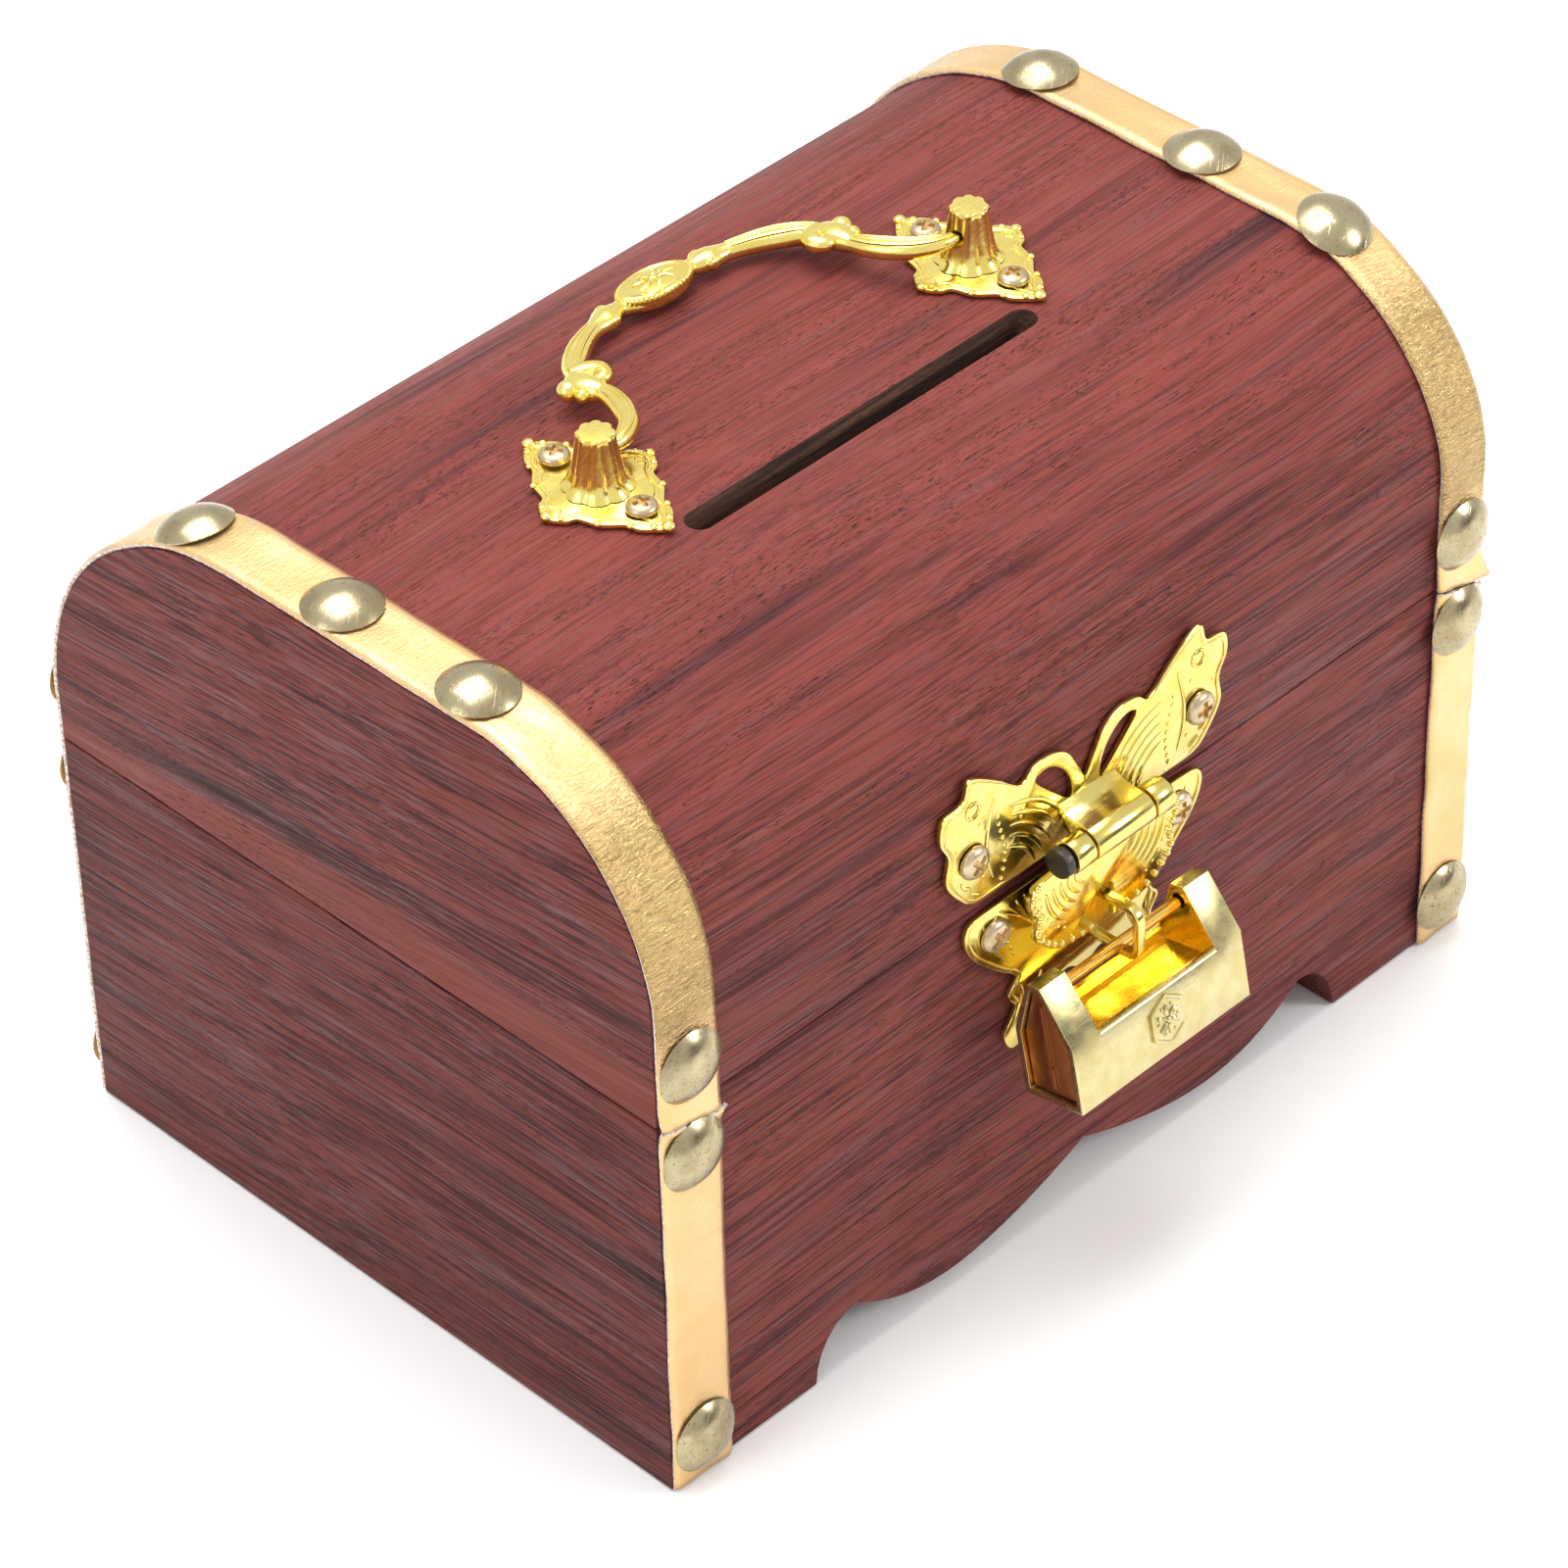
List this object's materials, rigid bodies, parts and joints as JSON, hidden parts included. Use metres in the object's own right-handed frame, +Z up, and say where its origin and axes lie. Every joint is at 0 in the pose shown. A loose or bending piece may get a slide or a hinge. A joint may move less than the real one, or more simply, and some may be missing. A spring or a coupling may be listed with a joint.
{
  "type": "money box",
  "caption": "Small wooden treasure-chest money box with a domed hinged lid, coin slot, strap bands, folding handle and a hasp latch with bar padlock.",
  "frame": {"origin": "middle of the bounding box at the surface the box stands on", "axes": "+X along the long side, from the left end to the right end; -Y towards the latch and padlock; +Z up"},
  "size_m": [0.1546, 0.1304, 0.1171],
  "materials": {
    "stained_wood": "red-brown stain over open brushed grain, matt",
    "gold_leather": "gold-coated leather strip, soft shine",
    "aged_brass": "aged brass domes, slightly spotted",
    "bright_brass": "bright yellow brass plating",
    "pale_brass": "pale brass-plated screw heads",
    "dark_steel": "dark steel pin"
  },
  "bodies": {
    "box": {"box_back_board": "stained_wood", "box_floor_board": "stained_wood", "box_front_board": "stained_wood", "box_left_board": "stained_wood", "box_right_board": "stained_wood", "box_strap_back_left": "gold_leather", "box_strap_back_right": "gold_leather", "box_strap_front_left": "gold_leather", "box_strap_front_right": "gold_leather", "box_tack_left_back_1": "aged_brass", "box_tack_left_back_2": "aged_brass", "box_tack_left_front_1": "aged_brass", "box_tack_left_front_2": "aged_brass", "box_tack_right_back_1": "aged_brass", "box_tack_right_back_2": "aged_brass", "box_tack_right_front_1": "aged_brass", "box_tack_right_front_2": "aged_brass", "hinge_leaf_box_left": "bright_brass", "hinge_leaf_box_right": "bright_brass", "hinge_pin_left": "bright_brass", "hinge_pin_right": "bright_brass", "latch_lower_plate": "bright_brass", "latch_screw_lower_left": "pale_brass", "latch_screw_lower_right": "pale_brass", "latch_staple": "bright_brass"},
    "lid": {"handle_plate_left": "bright_brass", "handle_plate_right": "bright_brass", "handle_post_left": "bright_brass", "handle_post_right": "bright_brass", "handle_screw_left_back": "pale_brass", "handle_screw_left_front": "pale_brass", "handle_screw_right_back": "pale_brass", "handle_screw_right_front": "pale_brass", "hinge_leaf_lid_left": "bright_brass", "hinge_leaf_lid_right": "bright_brass", "latch_pin": "dark_steel", "latch_screw_upper_left": "pale_brass", "latch_screw_upper_right": "pale_brass", "latch_upper_plate": "bright_brass", "lid_left_end": "stained_wood", "lid_right_end": "stained_wood", "lid_strap_left": "gold_leather", "lid_strap_right": "gold_leather", "lid_tack_left_back": "aged_brass", "lid_tack_left_front": "aged_brass", "lid_tack_left_top_1": "aged_brass", "lid_tack_left_top_2": "aged_brass", "lid_tack_left_top_3": "aged_brass", "lid_tack_right_back": "aged_brass", "lid_tack_right_front": "aged_brass", "lid_tack_right_top_1": "aged_brass", "lid_tack_right_top_2": "aged_brass", "lid_tack_right_top_3": "aged_brass", "lid_top_shell": "stained_wood"},
    "hasp": {"latch_hasp": "bright_brass"},
    "handle": {"handle_bail": "bright_brass"},
    "padlock": {"padlock_body": "bright_brass"},
    "padlock_bar": {"padlock_bar": "bright_brass"}
  },
  "joints": [
    {"name": "lid_hinge", "type": "hinge", "parent": "box", "child": "lid", "pos_m": [0, 0.06373, 0.062], "axis": [-1, 0, 0], "range_deg": [0, 105]},
    {"name": "handle_swing", "type": "hinge", "parent": "lid", "child": "handle", "pos_m": [0, 0.00323, 0.1134], "axis": [1, 0, 0], "range_deg": [0, 195]},
    {"name": "hasp_hinge", "type": "hinge", "parent": "lid", "child": "hasp", "pos_m": [-0.0015, -0.05487, 0.0675], "axis": [-1, 0, 0], "range_deg": [0, 120]},
    {"name": "padlock_swing", "type": "hinge", "parent": "box", "child": "padlock", "pos_m": [-0.0023, -0.05687, 0.0496], "axis": [-1, 0, 0], "range_deg": [0, 80]},
    {"name": "padlock_bar_slide", "type": "slide", "parent": "padlock", "child": "padlock_bar", "axis": [-1, 0, 0], "range_m": [0, 0.026]}
  ]
}
